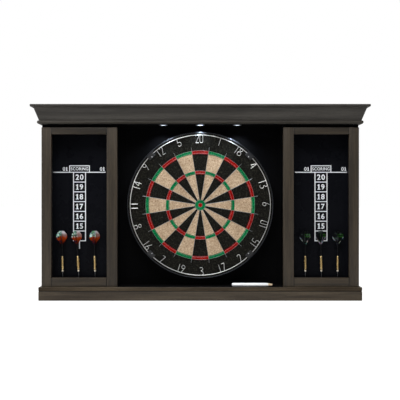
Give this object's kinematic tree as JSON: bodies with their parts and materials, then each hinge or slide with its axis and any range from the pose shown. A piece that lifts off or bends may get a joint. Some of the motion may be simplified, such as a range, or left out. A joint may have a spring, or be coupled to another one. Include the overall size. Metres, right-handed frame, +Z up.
{
  "type": "dart board cabinet",
  "caption": "Wall cabinet of stained wood with a lit centre bay holding a sisal dart board, and two fixed wings with writing boards and dart ledges.",
  "frame": {"origin": "centre of the four wall screws on the wall plane, which is also where the board axis meets the wall", "axes": "+X to the right seen from the front, +Y into the wall, +Z up"},
  "size_m": [1.04, 0.125, 0.603],
  "materials": {
    "stained_wood": "satin",
    "black_board": "matt",
    "bare_softwood": "sawn",
    "writing_board": "gloss",
    "zinc_steel": "bright zinc",
    "bracket_steel": "black powder coat",
    "sisal": "fibrous",
    "fibreboard": "raw",
    "band_steel": "black enamel",
    "score_wire": "bright",
    "clip_plastic": "moulded",
    "foot_rubber": "moulded",
    "light_metal": "satin black",
    "light_lens": "frosted",
    "circuit_board": "solder mask",
    "wire_sheath": "flexible",
    "box_plastic": "moulded",
    "knob_plastic": "moulded",
    "cell_jacket": "printed sleeve",
    "marker_white": "gloss",
    "felt": "felt",
    "dart_brass": "turned",
    "flight_film_left": "iridescent film",
    "flight_film_right": "iridescent film"
  },
  "bodies": {
    "cabinet": {"back_panel": "black_board", "batteries": "cell_jacket", "battery_box": "box_plastic", "battery_contacts": "zinc_steel", "board_bracket": "bracket_steel", "bottom_panel": "stained_wood", "bracket_block": "bare_softwood", "bracket_screws": "zinc_steel", "carcass_screws": "zinc_steel", "crown_front": "stained_wood", "crown_returns": "stained_wood", "dart_ledges": "black_board", "frame_dowels": "bare_softwood", "hanging_rails": "bare_softwood", "left_divider": "black_board", "left_scoreboard": "writing_board", "left_side": "stained_wood", "left_wing_rails": "stained_wood", "left_wing_stiles": "stained_wood", "light_circuit_boards": "circuit_board", "light_housings": "light_metal", "light_lenses": "light_lens", "light_wires": "wire_sheath", "plinth_front": "stained_wood", "plinth_returns": "stained_wood", "right_divider": "black_board", "right_scoreboard": "writing_board", "right_side": "stained_wood", "right_wing_rails": "stained_wood", "right_wing_stiles": "stained_wood", "scoreboard_battens": "bare_softwood", "shadow_strips": "black_board", "top_panel": "stained_wood"},
    "hanger": {"hanger_screw": "zinc_steel"},
    "dartboard": {"sisal_face": "sisal", "backing_disc": "fibreboard", "steel_band": "band_steel", "spider": "score_wire", "ring_clips": "clip_plastic", "board_feet": "foot_rubber"},
    "number_ring": {"number_ring": "score_wire"},
    "battery_lid": {"battery_lid": "box_plastic"},
    "switch_slider": {"switch_slider": "knob_plastic"},
    "marker": {"marker_body": "marker_white", "marker_nib": "felt"},
    "marker_cap": {"marker_cap": "marker_white"},
    "dart_1": {"dart_1_barrel": "dart_brass", "dart_1_flight": "flight_film_left"},
    "dart_2": {"dart_2_barrel": "dart_brass", "dart_2_flight": "flight_film_left"},
    "dart_3": {"dart_3_barrel": "dart_brass", "dart_3_flight": "flight_film_left"},
    "dart_4": {"dart_4_barrel": "dart_brass", "dart_4_flight": "flight_film_right"},
    "dart_5": {"dart_5_barrel": "dart_brass", "dart_5_flight": "flight_film_right"},
    "dart_6": {"dart_6_barrel": "dart_brass", "dart_6_flight": "flight_film_right"}
  },
  "joints": [
    {"name": "board_lift", "type": "slide", "parent": "cabinet", "child": "hanger", "axis": [0, 0, 1], "range_m": [0, 0.018]},
    {"name": "board_turn", "type": "hinge", "parent": "hanger", "child": "dartboard", "pos_m": [0, 0, 0], "axis": [0, 1, 0], "continuous": true},
    {"name": "number_ring_turn", "type": "hinge", "parent": "dartboard", "child": "number_ring", "pos_m": [0, 0, 0], "axis": [0, 1, 0], "continuous": true},
    {"name": "battery_lid_slide", "type": "slide", "parent": "cabinet", "child": "battery_lid", "axis": [1, 0, 0], "range_m": [0, 0.055]},
    {"name": "light_switch", "type": "slide", "parent": "cabinet", "child": "switch_slider", "axis": [0, 1, 0], "range_m": [0, 0.0074]},
    {"name": "marker_lift", "type": "slide", "parent": "cabinet", "child": "marker", "axis": [0, 0, 1], "range_m": [0, 0.1]},
    {"name": "marker_cap_pull", "type": "slide", "parent": "marker", "child": "marker_cap", "axis": [-1, 0, 0], "range_m": [0, 0.03]},
    {"name": "dart_1_lift", "type": "slide", "parent": "cabinet", "child": "dart_1", "axis": [-0.0297, 0, 0.9996], "range_m": [0, 0.045]},
    {"name": "dart_2_lift", "type": "slide", "parent": "cabinet", "child": "dart_2", "axis": [-0.0523, 0, 0.9986], "range_m": [0, 0.045]},
    {"name": "dart_3_lift", "type": "slide", "parent": "cabinet", "child": "dart_3", "axis": [-0.0157, 0, 0.9999], "range_m": [0, 0.045]},
    {"name": "dart_4_lift", "type": "slide", "parent": "cabinet", "child": "dart_4", "axis": [-0.0052, 0, 1], "range_m": [0, 0.045]},
    {"name": "dart_5_lift", "type": "slide", "parent": "cabinet", "child": "dart_5", "axis": [-0.0157, 0, 0.9999], "range_m": [0, 0.045]},
    {"name": "dart_6_lift", "type": "slide", "parent": "cabinet", "child": "dart_6", "axis": [0.0052, 0, 1], "range_m": [0, 0.045]}
  ]
}
